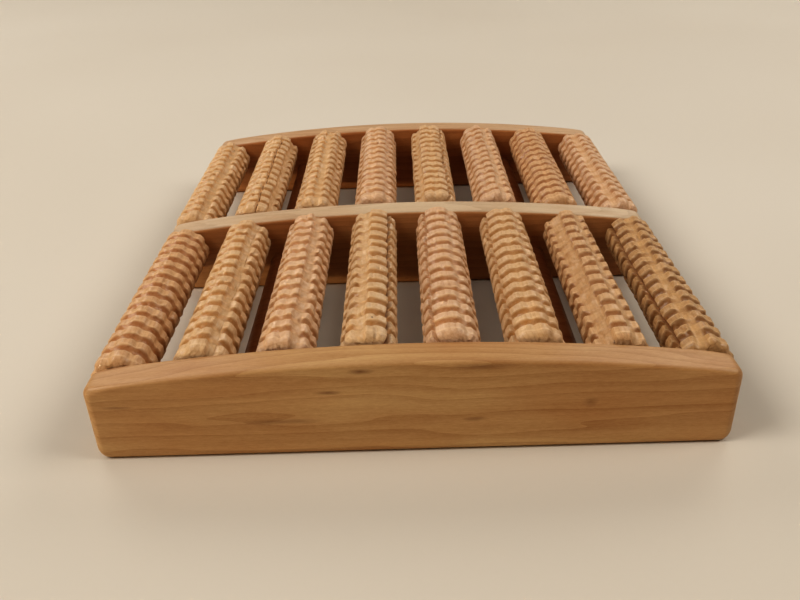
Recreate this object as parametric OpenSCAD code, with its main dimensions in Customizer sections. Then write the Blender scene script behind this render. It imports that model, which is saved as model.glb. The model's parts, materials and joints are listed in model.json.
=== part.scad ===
// Wooden foot massage roller with two rows of free-turning ridged rollers.
// Three arched boards stand along X, and the rollers lie between them along Y.
// +Z is up. The origin is on the surface that the boards stand on, at the middle of the frame.
// All sizes are in millimetres.

/* [Boards] */
// Length of a board along X
board_length = 229; // [215:1:245]
// Thickness of a board along Y
board_thickness = 13; // [12:0.5:16]
// Height of a board at its middle
board_mid_height = 38.5; // [37:0.5:42]
// Height of a board at its ends
board_end_height = 30.5; // [29:0.5:33]
// Distance along Y from one board's middle to the next
board_spacing = 127.5; // [110:0.5:150]
// Radius of the four rounded corners of a board
corner_radius = 4; // [2:0.5:6]
// Width of the small chamfer along a board's edges
edge_chamfer = 0.8; // [0.4:0.1:1.5]

/* [Rollers] */
// Rollers in each row
roller_count = 8; // [8:2:8]
// Distance along X from one roller's axis to the next
roller_spacing = 30.3; // [29:0.1:31]
// Diameter over the ridges
roller_diameter = 22; // [20:0.5:23]
// Gap between a roller's end and the board
roller_end_gap = 1.2; // [0.6:0.1:2]
// Depth of the axis below the board's top edge at the middle of the frame
axis_depth_mid = 7.1; // [6.5:0.1:8]
// Depth of the axis below the board's top edge at the outermost roller
axis_depth_end = 7.9; // [7:0.1:9]

/* [Ridges and flutes] */
// Ridges along one roller
ridge_count = 14; // [10:1:16]
// Depth of the grooves between the ridges
groove_depth = 2; // [1.5:0.1:2.2]
// Width of a ridge's flat crest
crest_width = 3; // [1.5:0.1:4]
// Width of the flat at the bottom of a groove
groove_floor = 0.5; // [0.4:0.1:1]
// Bevel around a roller's ends
end_bevel = 1.5; // [0.5:0.1:2]
// Pairs of flutes along a roller, each a wide flat one and a narrow V-shaped one
flute_pairs = 4; // [3:1:4]
// Depth of a wide flute
wide_flute_depth = 1.2; // [0.8:0.1:1.5]
// Width of a wide flute's flat floor
wide_flute_floor = 2.4; // [1.5:0.1:3]
// Depth of a narrow flute
narrow_flute_depth = 1.7; // [1:0.1:2.2]
// Slope of a flute's walls from the radius, in degrees
flute_wall_angle = 45; // [35:1:50]

/* [Axles] */
// Diameter of the steel rod that a pair of rollers turns on
axle_diameter = 5; // [4:0.5:6]
// Radial clearance of the rod in a roller's bore
running_clearance = 0.06; // [0.03:0.01:0.1]
// Depth of the blind holes in the outer boards
blind_depth = 8; // [5:0.5:10]

/* [Rails] */
// Diameter of the two dowels that join the boards
rail_diameter = 13; // [10:0.5:14]
// Distance along X from the middle of the frame to a rail's axis
rail_offset = 60.6; // [59:0.1:62]
// Height of a rail's axis
rail_height = 12.3; // [9:0.1:13]

/* [Hidden] */
$fn = 96;

ARCH_FACETS = 2400;                    // full circle of the large arch, so that its facets stay fine
CORNER_STEPS = 8;                      // segments in a rounded corner
GLUE_GAP = 0.02;                       // radial gap around a rod or dowel glued into a board
NARROW_FLOOR = 0.3;                    // width of a narrow flute's floor
PAST = 1;                              // how far a cutting shape runs past the material
ABOVE_ARCH = 4;                        // how far the plain outline stands above the arch at a board's ends

BOARD_NAMES = ["front", "middle", "rear"];
ROW_NAMES = ["front", "rear"];
RAIL_NAMES = ["left", "right"];

half_length = board_length / 2;
half_thickness = board_thickness / 2;
arch_rise = board_mid_height - board_end_height;
arch_radius = (half_length ^ 2 + arch_rise ^ 2) / (2 * arch_rise);
arch_centre = board_mid_height - arch_radius;

roller_radius = roller_diameter / 2;
groove_radius = roller_radius - groove_depth;
bore_radius = axle_diameter / 2 + running_clearance;
roller_length = board_spacing - board_thickness - 2 * roller_end_gap;
outermost_x = roller_spacing * (roller_count - 1) / 2;

ridge_pitch = roller_length / ridge_count;
flank_width = (ridge_pitch - crest_width - groove_floor) / 2;

rod_end = board_spacing - half_thickness + blind_depth;

// How far each roller is turned from having a wide flute on top, front row then rear row, in degrees
roller_turns = [
    [33, 32, 27, -19, 26, -8, -40, -11],
    [27, 46, 14, 36, 2, -25, -12, -17]
];

// Place of roller i, counted from 1 at the -X end
function roller_x(i) = (i - 1) * roller_spacing - outermost_x;

// Height of a board's top edge at x
function arch_height(x) = arch_centre + sqrt(arch_radius ^ 2 - x ^ 2);

// The axes lie on an arch of their own, a little deeper at the ends than the boards' arch
function axis_depth(x) = axis_depth_mid + (axis_depth_end - axis_depth_mid) * (x / outermost_x) ^ 2;
function roller_z(i) = arch_height(roller_x(i)) - axis_depth(roller_x(i));

// Points along a round corner about centre, from one angle to another
function corner(centre, from, to) = [
    for (step = [0:CORNER_STEPS])
        let (angle = from + (to - from) * step / CORNER_STEPS)
            centre + corner_radius * [cos(angle), sin(angle)]
];

function flip(points) = [for (k = [len(points) - 1:-1:0]) [-points[k][0], points[k][1]]];

// Runs a shape drawn along Z along Y instead
module along_y() {
    rotate([-90, 0, 0]) children();
}

// A rod along Y, through the middle of the frame at x and z
module rod(x, z, radius, half_span) {
    translate([x, 0, z]) along_y() cylinder(r = radius, h = 2 * half_span, center = true);
}

// Outline with the rounded corners. Above the arch it only has to clear the material.
module board_outline() {
    inner_radius = arch_radius - corner_radius;
    corner_x = half_length - corner_radius;
    corner_z = arch_centre + sqrt(inner_radius ^ 2 - corner_x ^ 2);
    arch_angle = atan2(corner_z - arch_centre, corner_x);
    above = [(arch_radius + ABOVE_ARCH) * cos(arch_angle), board_mid_height + PAST];
    right_half = concat(
        corner([corner_x, corner_radius], -90, 0),
        corner([corner_x, corner_z], 0, arch_angle),
        [above]
    );
    polygon(concat(right_half, flip(right_half)));
}

// The arched top with its two chamfered edges, as one large disc
module arch_disc() {
    translate([0, 0, arch_centre]) along_y() rotate_extrude($fn = ARCH_FACETS) polygon([
        [0, -half_thickness],
        [arch_radius - edge_chamfer, -half_thickness],
        [arch_radius, edge_chamfer - half_thickness],
        [arch_radius, half_thickness - edge_chamfer],
        [arch_radius - edge_chamfer, half_thickness],
        [0, half_thickness]
    ]);
}

// A rectangle that keeps its size but loses its corners, for the chamfers along straight edges
module chamfered_rectangle(width, height) {
    w = width / 2;
    h = height / 2;
    c = edge_chamfer;
    polygon([
        [c - w, -h], [w - c, -h], [w, c - h], [w, h - c],
        [w - c, h], [c - w, h], [-w, h - c], [-w, c - h]
    ]);
}

// A board without holes: where the arched disc, the outline, the plan and the end view overlap
module board_blank() {
    tall = 2 * (board_mid_height + PAST);
    deep = board_thickness + 2 * PAST;
    long = board_length + 2 * PAST;
    intersection() {
        arch_disc();
        rotate([90, 0, 0])
            linear_extrude(height = deep, center = true)
                board_outline();
        linear_extrude(height = tall, center = true)
            chamfered_rectangle(board_length, board_thickness);
        translate([0, 0, tall / 2]) rotate([0, 90, 0])
            linear_extrude(height = long, center = true)
                chamfered_rectangle(tall, board_thickness);
    }
}

// Holes for the rods and dowels, which stop inside the outer boards
module board_holes() {
    for (i = [1:roller_count]) rod(roller_x(i), roller_z(i), axle_diameter / 2 + GLUE_GAP, rod_end);
    for (side = [-1, 1]) rod(side * rail_offset, rail_height, rail_diameter / 2 + GLUE_GAP, rod_end);
}

module board(k) {
    color("burlywood") difference() {
        translate([0, (k - 1) * board_spacing, 0]) board_blank();
        board_holes();
    }
}

module rail(side) {
    color("peru") rod(side * rail_offset, rail_height, rail_diameter / 2, rod_end - GLUE_GAP);
}

module axle(i) {
    color("silver") rod(roller_x(i), roller_z(i), axle_diameter / 2, rod_end - GLUE_GAP);
}

// Radius against length of a turned roller: bevelled ends, and a groove between each two ridges
module turned_profile() {
    half = roller_length / 2;
    mouth_half = groove_floor / 2 + flank_width;
    grooves = [
        for (k = [1:ridge_count - 1])
            let (middle = k * ridge_pitch - half)
                each [
                    [roller_radius, middle - mouth_half],
                    [groove_radius, middle - groove_floor / 2],
                    [groove_radius, middle + groove_floor / 2],
                    [roller_radius, middle + mouth_half]
                ]
    ];
    polygon(concat(
        [[bore_radius, -half], [roller_radius - end_bevel, -half], [roller_radius, end_bevel - half]],
        grooves,
        [[roller_radius, half - end_bevel], [roller_radius - end_bevel, half], [bore_radius, half]]
    ));
}

// A straight groove along the roller with a flat floor and sloping walls, cut from the +X side
module flute(depth, floor_width) {
    bottom = roller_radius - depth;
    top = roller_radius + PAST;
    floor_half = floor_width / 2;
    mouth_half = floor_half + (top - bottom) * tan(flute_wall_angle);
    linear_extrude(height = roller_length + 2 * PAST, center = true)
        polygon([[bottom, -floor_half], [top, -mouth_half], [top, mouth_half], [bottom, floor_half]]);
}

// One roller along Z: turned to shape, then cut with its flutes
module roller_body() {
    pair_angle = 360 / flute_pairs;
    difference() {
        rotate_extrude() turned_profile();
        for (k = [0:flute_pairs - 1]) {
            rotate(k * pair_angle) flute(wide_flute_depth, wide_flute_floor);
            rotate((k + 0.5) * pair_angle) flute(narrow_flute_depth, NARROW_FLOOR);
        }
    }
}

module roller(row, i) {
    color("tan") translate([roller_x(i), (row - 0.5) * board_spacing, roller_z(i)])
        along_y() rotate(roller_turns[row][i - 1] - 90) roller_body();
}

for (k = [0:2]) board(k);
for (k = [0:1]) rail(2 * k - 1);
for (i = [1:roller_count]) axle(i);
for (row = [0:1]) for (i = [1:roller_count])
    roller(row, i);
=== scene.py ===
import json
import math

import bpy
import numpy as np
from mathutils import Matrix, Vector


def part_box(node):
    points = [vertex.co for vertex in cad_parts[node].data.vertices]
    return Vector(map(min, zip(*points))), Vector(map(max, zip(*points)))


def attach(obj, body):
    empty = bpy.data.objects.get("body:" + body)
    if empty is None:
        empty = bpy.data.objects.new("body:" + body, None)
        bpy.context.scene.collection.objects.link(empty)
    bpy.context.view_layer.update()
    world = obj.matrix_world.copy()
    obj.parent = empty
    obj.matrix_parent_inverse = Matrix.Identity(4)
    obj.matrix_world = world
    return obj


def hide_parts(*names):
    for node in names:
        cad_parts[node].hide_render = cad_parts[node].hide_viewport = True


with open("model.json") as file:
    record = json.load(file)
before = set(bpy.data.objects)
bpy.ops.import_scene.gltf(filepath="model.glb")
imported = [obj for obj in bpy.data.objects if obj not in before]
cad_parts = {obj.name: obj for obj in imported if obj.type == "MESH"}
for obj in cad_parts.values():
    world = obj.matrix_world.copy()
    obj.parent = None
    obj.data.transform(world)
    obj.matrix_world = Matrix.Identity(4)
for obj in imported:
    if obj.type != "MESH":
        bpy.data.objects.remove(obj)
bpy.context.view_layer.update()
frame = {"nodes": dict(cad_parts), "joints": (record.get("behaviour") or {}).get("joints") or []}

MM = 0.001
ROWS = ("front", "rear")
BOARDS = ("front", "middle", "rear")
RAILS = ("left", "right")
ROLLERS_PER_ROW = 8
SHARP_ANGLE = 38                # edges over this many degrees stay sharp
BOARD_SHARP_ANGLE = 35

# Boards
BOARD_END_HEIGHT = 30.5 * MM
TOP_CORNER_RADIUS = 3.8 * MM
FOOT_CORNER_RADIUS = 4.4 * MM
EDGE_RADIUS = {"front": 1.2 * MM, "middle": 1.5 * MM, "rear": 1.6 * MM}
END_EDGE_RADIUS = 3.7 * MM      # the edges are rounded more at a board's two ends
END_REACH = 14 * MM             # how far from an end that rounding fades out
FACE_BORDER = 0.2 * MM          # flat strip between a board's rounded edge and its face
EDGE_STEPS = 6
CORNER_STEPS = 10
ARCH_STEPS = 90
THICKNESS_STEPS = 6
HOLE_CLEARANCE = 0.05 * MM
HOLE_EXTRA_DEPTH = 0.1 * MM
HOLE_SIDES = 40

# Rails
RAIL_EASE = 0.8 * MM            # how far a rail's ends are bevelled
RAIL_WAVE = 0.06 * MM           # how far a rail is from perfectly round
RAIL_TIP = 0.01                 # size of the ring that closes a rail's end, as a share of its radius
RAIL_RINGS = 72
RAIL_SIDES = 56
RAIL_SEED = 70

# Rollers
ROLLER_RADIUS = 10.93 * MM
BORE_RADIUS = 2.56 * MM
RIDGES = 14
STEPS_PER_RIDGE = 16
STEPS_AROUND = 144
GROOVE_DEPTH = 2.1 * MM
GROOVE_SHARE = 0.27         # half width of a groove, as a share of the distance between ridges
GROOVE_POWER = 1.7          # how round the bottom of a groove is
RIM_SHARE = 0.06            # half width of the painted highlight along a ridge's rim, as a share of that distance
END_BEVEL = 1.7 * MM        # how far a roller's ends are rounded off
BORE_BEVEL = 0.3 * MM
FLUTES = 8                  # around a whole roller, those that are hidden included
BLEND_POWER = 8             # how sharply a groove and a flute meet
RIDGE_DRIFT = 0.7 * MM      # how far a ridge strays along the roller
FLUTE_SWAY = math.radians(5)            # how far a flute strays about the axis
FLUTE_RIPPLE = 0.35         # how much a flute's depth varies along it
FULL_FLUTE = 1.8 * MM       # flutes this deep or deeper get the whole flute colour
ROUGHNESS = 0.13 * MM       # fine torn grain
WEAR = 0.12 * MM            # slow waves
CHIP_DEPTH = 2.0 * MM
CHIP_LEVEL = 0.5            # noise above this makes a chip

# Half width in mm, depth in mm and flatness of the floor of the kinds of flute
FLUTE_KINDS = {
    "scallop": (3.0, 0.9, 1.0),
    "wide": (3.2, 1.8, 2.2),
    "flat": (4.4, 1.9, 3.5),
    "thin": (1.1, 2.1, 0.8),
    "slit": (1.4, 3.2, 0.9),
}
HIDDEN_KINDS = ("scallop", "wide", "scallop", "thin")
CLEFT_SHADE_STRENGTH = {"thin": 0.35, "slit": 1.0}     # painted shade: how dark the bottom of a narrow flute is painted


def smooth(mesh, sharp_angle):
    """Shades the mesh smooth, but for edges over sharp_angle degrees."""
    mesh.shade_smooth()
    mesh.set_sharp_from_angle(angle=math.radians(sharp_angle))


def settle_mesh(name, vertices, faces):
    """Makes a smooth object of the mesh and puts it in the scene."""
    mesh = bpy.data.meshes.new(name)
    mesh.from_pydata([tuple(v) for v in vertices], [], faces)
    mesh.update()
    smooth(mesh, SHARP_ANGLE)
    thing = bpy.data.objects.new(name, mesh)
    bpy.context.scene.collection.objects.link(thing)
    return thing


def ring_quads(rings, sides, closed=False):
    """Quads between rings of points. When closed, the last ring joins the first."""
    quads = []
    for ring in range(rings if closed else rings - 1):
        here = ring * sides
        there = (ring + 1) % rings * sides
        for k in range(sides):
            after = (k + 1) % sides
            quads.append([here + k, there + k, there + after, here + after])
    return quads


def tube_faces(rings, sides):
    """Quads between rings of points, and a cap on the first ring and on the last."""
    last = (rings - 1) * sides
    caps = [list(range(sides)), [last + k for k in reversed(range(sides))]]
    return ring_quads(rings, sides) + caps


class Lattice:
    """Smooth random values in space, the same each time for one seed."""

    SIZE = 64

    def __init__(self, seed):
        self.values = np.random.default_rng(seed).uniform(-1, 1, (self.SIZE,) * 3)

    def at(self, x, y, z):
        """Values from -1 to 1 at points counted in cells. Uses on one surface are shifted apart."""
        cells = [np.floor(c).astype(int) for c in (x, y, z)]
        parts = [c - np.floor(c) for c in (x, y, z)]
        parts = [p * p * (3 - 2 * p) for p in parts]
        total = 0
        for corner in np.ndindex(2, 2, 2):
            weight = 1
            for part, step in zip(parts, corner):
                weight = weight * (part if step else 1 - part)
            index = [(c + step) % self.SIZE for c, step in zip(cells, corner)]
            total = total + weight * self.values[tuple(index)]
        return total


# ---------------------------------------------------------------- boards

def arc(centre, radius, start, end, steps):
    """Points in X and Z along a circle, from start to end in degrees."""
    angles = np.radians(np.linspace(start, end, steps + 1))
    return np.stack([centre[0] + radius * np.cos(angles), centre[1] + radius * np.sin(angles)], 1)


def board_outline(half_length, mid_height, inset):
    """A board's outline in X and Z, moved inwards by inset, anticlockwise from its lower right corner."""
    rise = mid_height - BOARD_END_HEIGHT
    arch_radius = (half_length ** 2 + rise ** 2) / (2 * rise)
    arch_centre = mid_height - arch_radius
    corner_x = half_length - TOP_CORNER_RADIUS
    corner_z = arch_centre + math.sqrt((arch_radius - TOP_CORNER_RADIUS) ** 2 - corner_x ** 2)
    tilt = math.degrees(math.atan2(corner_z - arch_centre, corner_x))
    foot_x = half_length - FOOT_CORNER_RADIUS
    foot_radius = FOOT_CORNER_RADIUS - inset
    top_radius = TOP_CORNER_RADIUS - inset
    return np.concatenate([
        arc((foot_x, FOOT_CORNER_RADIUS), foot_radius, -90, 0, CORNER_STEPS),
        arc((corner_x, corner_z), top_radius, 0, tilt, CORNER_STEPS),
        arc((0, arch_centre), arch_radius - inset, tilt, 180 - tilt, ARCH_STEPS)[1:-1],
        arc((-corner_x, corner_z), top_radius, 180 - tilt, 180, CORNER_STEPS),
        arc((-foot_x, FOOT_CORNER_RADIUS), foot_radius, 180, 270, CORNER_STEPS),
    ])


def board_profile(thickness, edge_radius):
    """Inset and Y of the loops that run round a board, from its front face to its rear face."""
    half = thickness / 2
    turns = np.radians(np.linspace(90, 0, EDGE_STEPS + 1))
    front = [(edge_radius * (1 - math.cos(t)), edge_radius * (1 - math.sin(t)) - half) for t in turns]
    front = [(edge_radius + FACE_BORDER, -half)] + front
    flat = half - edge_radius
    middle = [(0, y) for y in np.linspace(-flat, flat, THICKNESS_STEPS + 1)[1:-1]]
    return front + middle + [(inset, -y) for inset, y in reversed(front)]


def hole_cutter():
    """The volume of every rod and dowel that ends in or passes through the boards."""
    vertices, faces = [], []
    turns = [2 * math.pi * k / HOLE_SIDES for k in range(HOLE_SIDES)]
    names = [f"axle_{i + 1}" for i in range(ROLLERS_PER_ROW)] + [f"rail_{side}" for side in RAILS]
    for name in names:
        rod_low, rod_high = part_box(name)
        centre = (rod_low + rod_high) / 2
        radius = (rod_high.x - rod_low.x) / 2 + HOLE_CLEARANCE
        first = len(vertices)
        for y in (rod_low.y - HOLE_EXTRA_DEPTH, rod_high.y + HOLE_EXTRA_DEPTH):
            for turn in turns:
                x = centre.x + radius * math.cos(turn)
                z = centre.z + radius * math.sin(turn)
                vertices.append((x, y, z))
        faces += [[first + corner for corner in face] for face in tube_faces(2, HOLE_SIDES)]
    return settle_mesh("hole_cutter", vertices, faces)


def cut(piece, cutter):
    """Takes the cutter's volume out of the piece, and deletes the cutter."""
    modifier = piece.modifiers.new("holes", "BOOLEAN")
    modifier.object = cutter
    modifier.solver = "EXACT"
    evaluated = piece.evaluated_get(bpy.context.evaluated_depsgraph_get())
    shaped = bpy.data.meshes.new_from_object(evaluated)
    piece.modifiers.clear()
    piece.data = shaped
    bpy.data.objects.remove(cutter)


def make_board(place):
    """An arched board with rounded edges, rounded more at its two ends, and holes for its rods."""
    name = f"board_{place}"
    low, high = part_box(name)
    middle = (low + high) / 2
    half_length = (high.x - low.x) / 2
    thickness = high.y - low.y
    loops = board_profile(thickness, EDGE_RADIUS[place])
    end_loops = board_profile(thickness, END_EDGE_RADIUS)
    vertices = []
    for (inset, y), (end_inset, end_y) in zip(loops, end_loops):
        along = board_outline(half_length, high.z, inset)
        at_end = board_outline(half_length, high.z, end_inset)
        for (x, z), (end_x, end_z) in zip(along, at_end):
            share = max(0, 1 - (half_length - abs(x)) / END_REACH) ** 2
            vertices.append((
                middle.x + x + (end_x - x) * share,
                middle.y + y + (end_y - y) * share,
                z + (end_z - z) * share,
            ))
    faces = tube_faces(len(loops), len(vertices) // len(loops))
    board = settle_mesh(f"arched_{name}", vertices, faces)
    cut(board, hole_cutter())
    smooth(board.data, BOARD_SHARP_ANGLE)
    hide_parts(name)
    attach(board, "frame")
    return board


# ---------------------------------------------------------------- rails

def make_rail(side, seed):
    """A turned dowel with slightly eased ends, not perfectly round or straight."""
    low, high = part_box(f"rail_{side}")
    centre = (low + high) / 2
    radius = (high.x - low.x) / 2
    straight = np.linspace(low.y + RAIL_EASE, high.y - RAIL_EASE, RAIL_RINGS)
    end_size = 1 - RAIL_EASE / radius
    ys = np.concatenate([[low.y, low.y], straight, [high.y, high.y]])
    sizes = np.concatenate([[RAIL_TIP, end_size], np.ones(RAIL_RINGS), [end_size, RAIL_TIP]])
    turns = np.linspace(0, 2 * math.pi, RAIL_SIDES, endpoint=False)
    noise = Lattice(seed)
    grid_y, grid_turn = np.meshgrid(ys, turns, indexing="ij")
    waves = noise.at(2 * np.cos(grid_turn) + 9, grid_y / (14 * MM) + 40, 2 * np.sin(grid_turn) + 9)
    grid_radius = radius * sizes[:, None] - RAIL_WAVE * (1 + waves)
    vertices = np.stack([
        centre.x + grid_radius * np.cos(grid_turn),
        grid_y,
        centre.z + grid_radius * np.sin(grid_turn),
    ], -1).reshape(-1, 3)
    rail = settle_mesh(f"dowel_rail_{side}", vertices, tube_faces(len(ys), RAIL_SIDES))
    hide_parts(f"rail_{side}")
    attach(rail, "frame")
    return rail


# ---------------------------------------------------------------- rollers

def all_flutes(seen):
    """The flutes that are given, and the rest spread evenly over the far side of the roller."""
    hidden = FLUTES - len(seen)
    first, last = seen[0][0], seen[-1][0]
    step = (first + 360 - last) / (hidden + 1)
    far = [(last + step * (k + 1), HIDDEN_KINDS[k % len(HIDDEN_KINDS)]) for k in range(hidden)]
    return list(seen) + far


def flute_depths(lean, flutes):
    """Depth below the crests at angles that lean from straight up towards +X."""
    depth = np.zeros_like(lean)
    for place, kind in flutes:
        half_width, deep, flatness = FLUTE_KINDS[kind]
        away = np.abs((lean - math.radians(place) + math.pi) % (2 * math.pi) - math.pi)
        away = np.clip(away * ROLLER_RADIUS / (half_width * MM), 0, 1)
        hollow = 0.5 + 0.5 * np.cos(math.pi * away ** flatness)
        depth = np.maximum(depth, deep * MM * hollow)
    return depth


def ridge_depths(grid_y, drift, length):
    """Depth of the grooves and of the rounded ends, and how near a point lies to the rim of a ridge."""
    pitch = length / RIDGES
    phase = ((grid_y + drift) / pitch) % 1
    off_middle = np.minimum(phase, 1 - phase)
    from_groove = np.clip(off_middle / GROOVE_SHARE, 0, 1)
    at_end = (grid_y < pitch / 2) & (phase < 0.5) | (grid_y > length - pitch / 2) & (phase > 0.5)
    groove = np.where(at_end, 0, GROOVE_DEPTH * (1 - from_groove ** GROOVE_POWER))
    rounded = np.where(at_end, END_BEVEL * (1 - from_groove) ** 2, 0)
    rim = 1 - np.abs(off_middle - GROOVE_SHARE) / RIM_SHARE
    return groove, rounded, rim


def painted_cleft_shade(lean, flutes):
    """How much painted shade goes at the bottoms of the narrow flutes, from 0 to 1."""
    total = 0
    for kind, darkness in CLEFT_SHADE_STRENGTH.items():
        narrow = flute_depths(lean, [flute for flute in flutes if flute[1] == kind])
        total = total + darkness * narrow / (FLUTE_KINDS[kind][1] * MM)
    return total


def torn_depths(noise, grid_y, round_x, round_z):
    """Torn grain: fine roughness and slow wear everywhere, and a few deeper chips."""
    rough = noise.at(rim_cells(round_x, 1.1), grid_y / (1.0 * MM), rim_cells(round_z, 1.1))
    wear = noise.at(round_x * 2 + 5, grid_y / (6 * MM) + 11, round_z * 2 + 5)
    coarse = noise.at(rim_cells(round_x, 2.4), grid_y / (3.4 * MM) + 31, rim_cells(round_z, 2.4))
    chips = CHIP_DEPTH * np.clip(coarse - CHIP_LEVEL, 0, 1)
    return ROUGHNESS * (rough + 1) + WEAR * (wear + 1) + chips


def make_roller(row, index, seen, seed):
    """A roller cut with ridges across it and flutes along it, rough where the cutter tore the wood."""
    name = f"roller_{row}_{index}"
    low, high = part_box(name)
    joint = next(j for j in frame["joints"] if j["child"] == name)
    axis_x, _, axis_z = joint["pos_m"]
    length = high.y - low.y
    along = np.linspace(0, length, RIDGES * STEPS_PER_RIDGE + 1)
    turns = np.linspace(0, 2 * math.pi, STEPS_AROUND, endpoint=False)
    grid_y, grid_turn = np.meshgrid(along, turns, indexing="ij")
    round_x, round_z = np.cos(grid_turn), np.sin(grid_turn)
    noise = Lattice(seed)

    # Ridges drift a little from their even places, but not at the two ends
    ease = np.sin(math.pi * grid_y / length)
    drift = ease * RIDGE_DRIFT * noise.at(round_x * 2.6 + 20, grid_y / (9 * MM), round_z * 2.6 + 20)
    groove, rounded, rim = ridge_depths(grid_y, drift, length)

    # Flutes sway about their angles, and their depth varies along the roller
    still = np.ones_like(grid_y)
    sway = FLUTE_SWAY * noise.at(3.3 * still, grid_y / (9 * MM), 8.8 * still)
    lean = math.pi / 2 - grid_turn + sway
    ripple = noise.at(round_x * 3 + 7, grid_y / (3.5 * MM), round_z * 3 + 7)
    flutes = all_flutes(seen)
    flute = np.clip(flute_depths(lean, flutes) * (1 + FLUTE_RIPPLE * ripple), 0, None)

    hollow = (groove ** BLEND_POWER + flute ** BLEND_POWER) ** (1 / BLEND_POWER)
    radius = ROLLER_RADIUS - (hollow + rounded + torn_depths(noise, grid_y, round_x, round_z))
    outer = np.stack([axis_x + radius * round_x, low.y + grid_y, axis_z + radius * round_z], -1)
    bore_mouth = BORE_RADIUS + BORE_BEVEL
    bore_rings = [
        np.stack([
            axis_x + size * np.cos(turns),
            np.full_like(turns, y),
            axis_z + size * np.sin(turns),
        ], -1)
        for y, size in (
            (high.y, bore_mouth),
            (high.y - BORE_BEVEL, BORE_RADIUS),
            (low.y + BORE_BEVEL, BORE_RADIUS),
            (low.y, bore_mouth),
        )
    ]
    vertices = np.concatenate([outer.reshape(-1, 3)] + bore_rings)
    faces = ring_quads(len(along) + len(bore_rings), STEPS_AROUND, closed=True)
    roller = settle_mesh(f"ridged_{name}", vertices, faces)

    # For the material, which paints shade and a highlight from some of these: how near a point lies to a
    # ridge's rim, and how deep in a groove or a flute
    paint(roller, "rim", rim, len(bore_rings))
    paint(roller, "groove", groove / GROOVE_DEPTH, len(bore_rings))
    paint(roller, "flute", flute / FULL_FLUTE, len(bore_rings))
    paint(roller, "cleft", painted_cleft_shade(lean, flutes), len(bore_rings))
    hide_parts(name)
    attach(roller, name)
    return roller


def rim_cells(unit, cell_mm):
    """A sine or cosine as a place across the roller, counted in cells of that many millimetres."""
    return (unit + 1) * ROLLER_RADIUS / (cell_mm * MM)


def paint(thing, name, values, spare_rings):
    """Stores one value from 0 to 1 per vertex. The rings at the bore get zero."""
    flat = np.concatenate([np.clip(values, 0, 1).reshape(-1), np.zeros(spare_rings * STEPS_AROUND)])
    attribute = thing.data.attributes.new(name, "FLOAT", "POINT")
    attribute.data.foreach_set("value", flat.astype(np.float32))


# ---------------------------------------------------------------- materials

class Nodes:
    """Short ways to build a material's node tree. Scales are in cells per metre along X, Y and Z."""

    def __init__(self, name):
        self.material = bpy.data.materials.new(name)
        self.material.use_nodes = True
        self.tree = self.material.node_tree
        self.shader = self.tree.nodes["Principled BSDF"]

    def add(self, kind, settings=None, **inputs):
        node = self.tree.nodes.new(kind)
        for key, value in (settings or {}).items():
            setattr(node, key, value)
        for key, value in inputs.items():
            self.feed(node, key.replace("_", " "), value)
        return node

    def feed(self, node, socket, value):
        """Links an output to the socket of that name or number, or sets the socket's constant."""
        target = node.inputs[int(socket)] if socket.isdigit() else node.inputs[socket]
        if isinstance(value, bpy.types.NodeSocket):
            self.tree.links.new(value, target)
        else:
            target.default_value = value

    def place(self, scale, shift=(0, 0, 0)):
        """Object coordinates, scaled and shifted."""
        coordinates = self.add("ShaderNodeTexCoord").outputs["Object"]
        return self.add("ShaderNodeMapping", Vector=coordinates, Scale=scale, Location=shift).outputs[0]

    def noise(self, vector, detail=3.0, roughness=0.55):
        inputs = {"Vector": vector, "Scale": 1.0, "Detail": detail, "Roughness": roughness}
        return self.add("ShaderNodeTexNoise", **inputs).outputs["Fac"]

    def math(self, operation, a, b=0.0):
        node = self.add("ShaderNodeMath", {"operation": operation})
        self.feed(node, "0", a)
        self.feed(node, "1", b)
        return node.outputs[0]

    def remap(self, value, low, high, to_low=0.0, to_high=1.0):
        node = self.add("ShaderNodeMapRange", Value=value)
        ends = {"From Min": low, "From Max": high, "To Min": to_low, "To Max": to_high}
        for socket, number in ends.items():
            node.inputs[socket].default_value = number
        return node.outputs[0]

    def mix(self, factor, a, b, blend="MIX"):
        node = self.add("ShaderNodeMix", {"data_type": "RGBA", "blend_type": blend})
        for socket, value in {"0": factor, "6": a, "7": b}.items():
            self.feed(node, socket, value)
        return node.outputs[2]

    def attribute(self, name):
        return self.add("ShaderNodeAttribute", {"attribute_name": name}).outputs["Fac"]

    def bump(self, height, strength, distance, under=None):
        node = self.add("ShaderNodeBump", Height=height, Strength=strength, Distance=distance)
        if under is not None:
            self.feed(node, "Normal", under)
        return node.outputs[0]

    def finish(self, colour, roughness, normal, coat=0.0, coat_roughness=0.2):
        self.feed(self.shader, "Base Color", colour)
        self.feed(self.shader, "Roughness", roughness)
        self.feed(self.shader, "Normal", normal)
        self.shader.inputs["Coat Weight"].default_value = coat
        self.shader.inputs["Coat Roughness"].default_value = coat_roughness
        return self.material


def rgb(red, green, blue):
    """A colour given as it looks on a screen, from 0 to 255, as the linear values that a shader takes."""
    parts = [c / 255 for c in (red, green, blue)]
    return tuple(c / 12.92 if c <= 0.04045 else ((c + 0.055) / 1.055) ** 2.4 for c in parts) + (1.0,)


CLOUD_TINT = rgb(226, 190, 150)
KNOT_BROWN = rgb(106, 62, 24)
FLUTE_PALE = rgb(226, 184, 130)
CLEFT_SHADE_BROWN = rgb(134, 74, 30)
RIM_HIGHLIGHT = rgb(242, 208, 162)
SPOT_BROWN = rgb(88, 50, 26)
CLEAN_STEEL = rgb(186, 184, 180)
DULL_STEEL = rgb(138, 128, 116)
PAPER_LIGHT = rgb(212, 203, 189)
PAPER_DARK = rgb(207, 197, 182)


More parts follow.
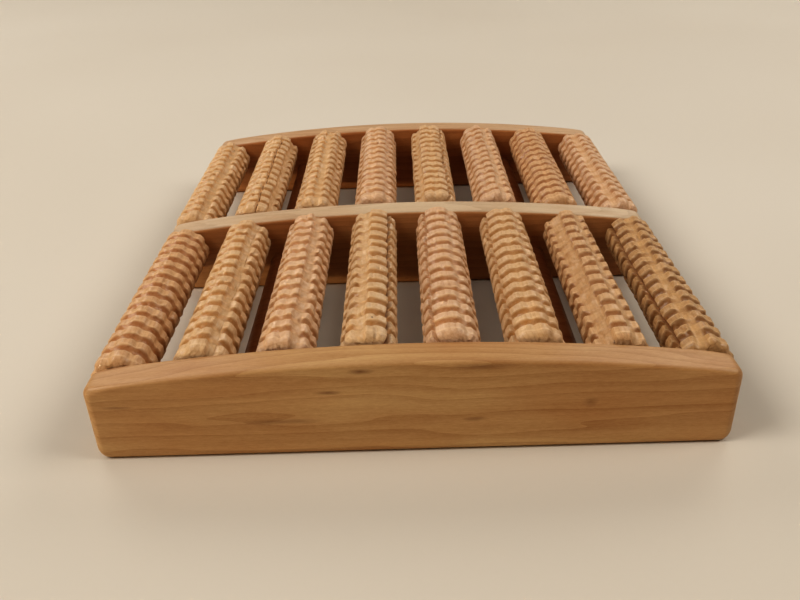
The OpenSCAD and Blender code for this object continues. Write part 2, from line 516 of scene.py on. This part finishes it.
def growth_rings(n, axis, shift, spacing_mm):
    """Bands from 0 to 1 where a board cuts the rings of a tree whose trunk runs along axis."""
    stretched = {"x": (7, 60, 60), "y": (60, 7, 60)}[axis]
    warp = n.noise(n.place(stretched, shift), detail=2.0)
    parts = n.add("ShaderNodeSeparateXYZ", Vector=n.place((1, 1, 1), shift)).outputs
    side = parts["Y"] if axis == "x" else parts["X"]
    reach = n.math("SQRT", n.math("ADD", n.math("POWER", side, 2.0), n.math("POWER", parts["Z"], 2.0)))
    turns = n.math("ADD", n.math("MULTIPLY", reach, 1000 / spacing_mm), n.math("MULTIPLY", warp, 5.0))
    return n.math("POWER", n.math("FRACT", turns), 2.2)


def add_knots(n, colour, knots, shift):
    """Brown ovals with wobbly edges, placed in X and Z."""
    for x, z, length, height, strength in knots:
        spot = n.place((1000 / length, 0, 1000 / height), (-x / length, 0, -z / height))
        wobble = n.noise(n.place((120, 120, 400), shift), detail=2.0)
        reach = n.add("ShaderNodeVectorMath", {"operation": "LENGTH"}, Vector=spot).outputs["Value"]
        near = n.math("ADD", reach, n.math("MULTIPLY", wobble, 0.9))
        colour = n.mix(n.remap(near, 1.5, 0.55, 0.0, strength), colour, KNOT_BROWN)
    return colour


def board_wood(name, shift, knots, light, dark, face_shade_tint):
    """Varnished softwood with its grain along X, with painted shade tinting its upright faces deeper than
    its edges.
    """
    n = Nodes(name)
    rings = growth_rings(n, "x", shift, 3.1)
    fibre = n.noise(n.place((55, 1500, 1500), shift), detail=4.0, roughness=0.7)
    streak = n.noise(n.place((9, 190, 190), shift), detail=3.0, roughness=0.6)
    cloud = n.noise(n.place((14, 40, 40), shift), detail=2.0)
    fleck = n.noise(n.place((420, 2100, 2100), shift), detail=3.0, roughness=0.8)
    tone = n.math("ADD", n.math("MULTIPLY", rings, 0.18), n.math("MULTIPLY", fibre, 0.3))
    tone = n.math("ADD", tone, n.math("MULTIPLY", streak, 0.4))
    tone = n.math("ADD", tone, n.math("MULTIPLY", fleck, 0.45))
    colour = n.mix(n.remap(tone, 0.4, 0.85), light, dark)
    colour = n.mix(n.remap(cloud, 0.35, 0.7, 0.0, 0.5), colour, CLOUD_TINT, "MULTIPLY")
    colour = add_knots(n, colour, knots, shift)
    # Painted shade: faces that stand upright are multiplied by the face tint, deeper and redder, as if
    # lit only by warm bounce light
    facing = n.add("ShaderNodeNewGeometry").outputs["Normal"]
    upright = n.add("ShaderNodeSeparateXYZ", Vector=facing).outputs["Z"]
    colour = n.mix(n.remap(upright, 0.8, 0.5), colour, face_shade_tint, "MULTIPLY")
    pores = n.noise(n.place((160, 2600, 2600), shift), detail=2.0)
    waves = n.noise(n.place((18, 90, 90), shift), detail=2.0)
    normal = n.bump(waves, 0.35, 0.6 * MM)
    normal = n.bump(n.math("ADD", fibre, n.math("MULTIPLY", pores, 0.5)), 0.22, 0.18 * MM, normal)
    roughness = n.remap(streak, 0.3, 0.7, 0.5, 0.66)
    return n.finish(colour, roughness, normal, coat=0.15, coat_roughness=0.2)


def roller_wood(name, shift, light, dark, groove_shade_colour, specks):
    """Rough-cut wood with its grain along Y: paler in the flutes, with painted shade down the grooves and
    at the bottoms of narrow flutes, and a painted highlight along the ridges' rims.
    """
    n = Nodes(name)
    rings = growth_rings(n, "y", shift, 1.5)
    fibre = n.noise(n.place((900, 70, 900), shift), detail=4.0, roughness=0.7)
    torn = n.noise(n.place((800, 620, 800), shift), detail=5.0, roughness=0.75)
    cloud = n.noise(n.place((70, 26, 70), shift), detail=3.0)
    tone = n.math("ADD", n.math("MULTIPLY", rings, 0.15), n.math("MULTIPLY", fibre, 0.35))
    mottled = n.math("ADD", n.math("MULTIPLY", cloud, 0.35), n.math("MULTIPLY", torn, 0.6))
    tone = n.math("ADD", tone, mottled)
    colour = n.mix(n.remap(tone, 0.5, 0.95), light, dark)
    down = n.attribute("groove")
    inside = n.attribute("flute")
    # Painted shade and bounce light: down the grooves the colour turns to the darker groove colour, less
    # so in the flutes
    side = n.math("MULTIPLY", n.remap(down, 0.02, 0.3), n.remap(inside, 0.3, 1.0, 1.0, 0.45))
    side = n.math("MULTIPLY", side, n.remap(torn, 0.25, 0.75, 0.6, 1.0))
    colour = n.mix(side, colour, groove_shade_colour)
    colour = n.mix(n.math("MULTIPLY", inside, 0.3), colour, FLUTE_PALE)
    # Painted shade at the bottoms of the narrow flutes
    colour = n.mix(n.remap(n.attribute("cleft"), 0.2, 1.0, 0.0, 0.9), colour, CLEFT_SHADE_BROWN)
    # Painted highlight along each ridge's rim, broken up by the torn grain and kept out of the flutes
    rim_highlight = n.math("MULTIPLY", n.attribute("rim"), n.remap(inside, 0.2, 0.9, 1.0, 0.0))
    colour = n.mix(n.math("MULTIPLY", rim_highlight, n.remap(torn, 0.3, 0.6, 0.2, 0.8)), colour, RIM_HIGHLIGHT)
    spots = n.noise(n.place((330, 200, 330), shift), detail=3.0, roughness=0.6)
    colour = n.mix(n.remap(spots, 0.78 - specks, 0.86 - specks, 0.0, 0.75), colour, SPOT_BROWN)
    normal = n.bump(torn, 1.0, 0.8 * MM)
    normal = n.bump(fibre, 0.5, 0.3 * MM, normal)
    roughness = n.remap(torn, 0.3, 0.7, 0.5, 0.72)
    return n.finish(colour, roughness, normal, coat=0.35, coat_roughness=0.16)


def rod_steel(name):
    """Drawn steel rod with fine lines along Y and slight tarnish."""
    n = Nodes(name)
    lines = n.noise(n.place((2600, 30, 2600)), detail=3.0)
    tarnish = n.noise(n.place((90, 60, 90)), detail=3.0)
    colour = n.mix(n.remap(tarnish, 0.35, 0.7), CLEAN_STEEL, DULL_STEEL)
    normal = n.bump(lines, 0.2, 0.05 * MM)
    n.shader.inputs["Metallic"].default_value = 1.0
    return n.finish(colour, n.remap(lines, 0.3, 0.7, 0.28, 0.46), normal)


def paper(name):
    """Matt cream paper with a faint tooth."""
    n = Nodes(name)
    tooth = n.noise(n.place((700, 700, 700)), detail=3.0)
    cloud = n.noise(n.place((2, 2, 2)), detail=2.0)
    colour = n.mix(n.remap(cloud, 0.3, 0.7), PAPER_LIGHT, PAPER_DARK)
    return n.finish(colour, n.remap(tooth, 0.3, 0.7, 0.75, 0.85), n.bump(tooth, 0.08, 0.1 * MM))


def give(piece, material):
    """Makes the material the only one on the piece."""
    piece.data.materials.clear()
    piece.data.materials.append(material)


# ---------------------------------------------------------------- the object

# Knots on the front board's face: X and Z of the middle, half length and half height in mm, and strength
FRONT_KNOTS = [
    (-17.5, 35.5, 5.0, 1.3, 0.8),
    (-29, 27.0, 5.0, 1.0, 0.6),
    (-47, 15.0, 16.0, 1.4, 0.45),
    (24, 36.0, 11.0, 1.6, 0.5),
    (62, 20.0, 3.0, 2.2, 0.45),
    (22, 14.0, 5.0, 1.0, 0.5),
    (-103, 23.0, 6.0, 0.8, 0.5),
]

# Each roller's kind of wood, and its flutes on the upper side: how far each leans from straight up
# towards +X, in degrees, and its kind
FRONT_ROLLERS = [
    ("reddish", ((-16, "scallop"), (31, "scallop"), (70, "scallop"))),
    ("plain", ((-29, "scallop"), (31, "wide"), (38, "thin"), (77, "scallop"))),
    ("pink", ((-50, "scallop"), (-8, "scallop"), (27, "wide"), (65, "scallop"))),
    ("yellow", ((-65, "scallop"), (-20, "wide"), (45, "slit"), (86, "scallop"))),
    ("pink", ((-82, "scallop"), (-43, "thin"), (27, "scallop"), (68, "scallop"))),
    ("plain", ((-56, "thin"), (-8, "scallop"), (30, "scallop"), (64, "scallop"))),
    ("knotty", ((-85, "scallop"), (-40, "flat"), (28, "wide"), (62, "scallop"))),
    ("brown", ((-61, "slit"), (-11, "wide"), (30, "scallop"), (62, "scallop"))),
]
REAR_ROLLERS = [
    ("plain", ((-20, "scallop"), (27, "wide"), (68, "scallop"))),
    ("plain", ((-30, "scallop"), (12, "thin"), (56, "wide"))),
    ("plain", ((-40, "scallop"), (8, "wide"), (50, "scallop"))),
    ("pink", ((-55, "scallop"), (-10, "scallop"), (36, "scallop"))),
    ("plain", ((-48, "wide"), (2, "scallop"), (40, "thin"))),
    ("pink", ((-66, "scallop"), (-25, "scallop"), (20, "wide"))),
    ("reddish", ((-57, "scallop"), (-12, "scallop"), (33, "scallop"))),
    ("pink", ((-62, "scallop"), (-17, "wide"), (28, "scallop"))),
]

# Light tone, dark tone, painted shade and bounce light colour down the grooves, and share of dark specks
ROLLER_WOODS = {
    "plain": (rgb(228, 193, 150), rgb(202, 157, 112), rgb(186, 130, 66), 0.045),
    "yellow": (rgb(228, 195, 154), rgb(204, 161, 116), rgb(186, 132, 70), 0.045),
    "pink": (rgb(230, 194, 158), rgb(206, 158, 120), rgb(188, 130, 76), 0.045),
    "reddish": (rgb(224, 182, 136), rgb(194, 142, 96), rgb(176, 114, 60), 0.045),
    "brown": (rgb(210, 168, 116), rgb(174, 128, 80), rgb(148, 98, 48), 0.05),
    "knotty": (rgb(224, 184, 138), rgb(190, 142, 98), rgb(170, 114, 62), 0.09),
}

RAIL_LIGHT = rgb(190, 132, 84)
RAIL_DARK = rgb(156, 100, 60)
# Tints that multiply the boards' upright faces: white paints no shade, the other paints shade onto them
NO_FACE_SHADE = rgb(255, 255, 255)
PAINTED_FACE_SHADE = rgb(240, 200, 158)

# Light tone, dark tone, knots and painted shade tint of the upright faces
BOARD_LOOKS = {
    "front": (rgb(198, 161, 113), rgb(166, 123, 76), FRONT_KNOTS, NO_FACE_SHADE),
    "middle": (rgb(212, 190, 160), rgb(184, 158, 128), [], PAINTED_FACE_SHADE),
    "rear": (rgb(212, 180, 144), rgb(178, 142, 106), [], PAINTED_FACE_SHADE),
}
for number, place in enumerate(BOARDS):
    light, dark, knots, face_shade_tint = BOARD_LOOKS[place]
    board = make_board(place)
    shift = (0.013 * number, 0.02, 0.05 + 0.017 * number)
    give(board, board_wood(f"board_wood_{place}", shift, knots, light, dark, face_shade_tint))

rail_wood = board_wood("rail_wood", (0.3, 0.11, 0.02), [], RAIL_LIGHT, RAIL_DARK, NO_FACE_SHADE)
for number, side in enumerate(RAILS):
    give(make_rail(side, RAIL_SEED + number), rail_wood)

steel = rod_steel("axle_steel")
for index in range(1, ROLLERS_PER_ROW + 1):
    give(frame["nodes"][f"axle_{index}"], steel)

for row, plans in zip(ROWS, (FRONT_ROLLERS, REAR_ROLLERS)):
    for index, (kind, seen) in enumerate(plans, start=1):
        seed = 100 * ROWS.index(row) + index
        light, dark, groove_shade_colour, specks = ROLLER_WOODS[kind]
        shift = (0.011 * index, 0.023 * index + 0.4 * ROWS.index(row), 0.006 * index)
        wood = roller_wood(f"roller_wood_{row}_{index}", shift, light, dark, groove_shade_colour, specks)
        give(make_roller(row, index, seen, seed), wood)


# ---------------------------------------------------------------- stage, lights and camera

FLOOR_RADIUS = 2.5              # the stage and the lamps are placed in metres
SWEEP_BEND = 0.9
SWEEP_HEIGHT = 2.4
SWEEP_SIDES = 72
SWEEP_STEPS = 16


def make_stage():
    """A round sheet of paper that lies flat under the object and sweeps up far away on all sides."""
    profile = [(0.97 * FLOOR_RADIUS, 0.0)]
    for step in range(SWEEP_STEPS + 1):
        turn = math.radians(90 * step / SWEEP_STEPS)
        profile.append((FLOOR_RADIUS + SWEEP_BEND * math.sin(turn), SWEEP_BEND * (1 - math.cos(turn))))
    profile.append((FLOOR_RADIUS + SWEEP_BEND, SWEEP_HEIGHT))
    turns = [2 * math.pi * k / SWEEP_SIDES for k in range(SWEEP_SIDES)]
    vertices = [(r * math.cos(turn), r * math.sin(turn), z) for r, z in profile for turn in turns]
    faces = [list(range(SWEEP_SIDES))] + ring_quads(len(profile), SWEEP_SIDES)
    sheet = settle_mesh("paper_sweep", vertices, faces)
    give(sheet, paper("paper"))


LAMP_WHITE = (1.0, 0.975, 0.94)
LAMP_AMBER = (1.0, 0.92, 0.66)
WORLD_CREAM = (1.0, 0.92, 0.8, 1.0)
WORLD_STRENGTH = 0.04

# Name, place, target, diameter in metres, power in watts and colour
LAMPS = [
    ("key_light", (-1.35, -0.45, 1.4), (0, 0.05, 0), 1.0, 17.5, LAMP_WHITE),
    ("right_fill", (1.35, -0.2, 1.35), (0, 0.05, 0), 1.0, 10.5, LAMP_WHITE),
    ("top_fill", (0, -0.2, 1.7), (0, 0, 0), 1.6, 2, LAMP_WHITE),
    ("back_left_fill", (-1.0, 1.4, 1.2), (0, 0.5, 0), 1.0, 6.5, LAMP_WHITE),
    ("back_right_fill", (1.0, 1.4, 1.2), (0, 0.5, 0), 1.0, 6.5, LAMP_WHITE),
    ("front_fill", (-1.8, -1.5, 0.08), (0, 0, 0.02), 0.12, 10, LAMP_AMBER),
]


def make_lamp(name, place, target, size, power, colour):
    """A round area light that faces the target."""
    light = bpy.data.lights.new(name, "AREA")
    light.shape = "DISK"
    light.size = size
    light.energy = power
    light.color = colour
    lamp = bpy.data.objects.new(name, light)
    bpy.context.scene.collection.objects.link(lamp)
    lamp.location = place
    lamp.rotation_euler = (Vector(target) - Vector(place)).to_track_quat("-Z", "Y").to_euler()


def make_world():
    """A dim cream room all around."""
    world = bpy.data.worlds.new("soft_room")
    bpy.context.scene.world = world
    world.use_nodes = True
    background = world.node_tree.nodes["Background"]
    background.inputs["Color"].default_value = WORLD_CREAM
    background.inputs["Strength"].default_value = WORLD_STRENGTH


CAMERA_PLACE = Vector((-1.1, -357.9, 190.2)) * MM
CAMERA_ANGLES = (0.517, 0.009, -0.034)      # down, to the left and rolled, in radians
CAMERA_LENS = 36                            # millimetres, like the sensor's width
SENSOR_WIDTH = 36


def make_camera():
    """Stands in front of the object and looks down at it, rolled a little."""
    down, left, roll = CAMERA_ANGLES
    ahead = Vector((-math.sin(left) * math.cos(down), math.cos(left) * math.cos(down), -math.sin(down)))
    level = Vector((math.cos(left), math.sin(left), 0))
    upright = level.cross(ahead)
    right = math.cos(roll) * level + math.sin(roll) * upright
    up = math.cos(roll) * upright - math.sin(roll) * level
    data = bpy.data.cameras.new("camera")
    data.sensor_width = SENSOR_WIDTH
    data.lens = CAMERA_LENS
    data.clip_start = 0.01
    camera = bpy.data.objects.new("camera", data)
    bpy.context.scene.collection.objects.link(camera)
    camera.matrix_world = Matrix((
        (right.x, up.x, -ahead.x, CAMERA_PLACE.x),
        (right.y, up.y, -ahead.y, CAMERA_PLACE.y),
        (right.z, up.z, -ahead.z, CAMERA_PLACE.z),
        (0, 0, 0, 1),
    ))
    bpy.context.scene.camera = camera


make_stage()
for lamp in LAMPS:
    make_lamp(*lamp)
make_world()
make_camera()
bpy.context.scene.view_settings.view_transform = "Standard"
bpy.context.scene.view_settings.look = "High Contrast"
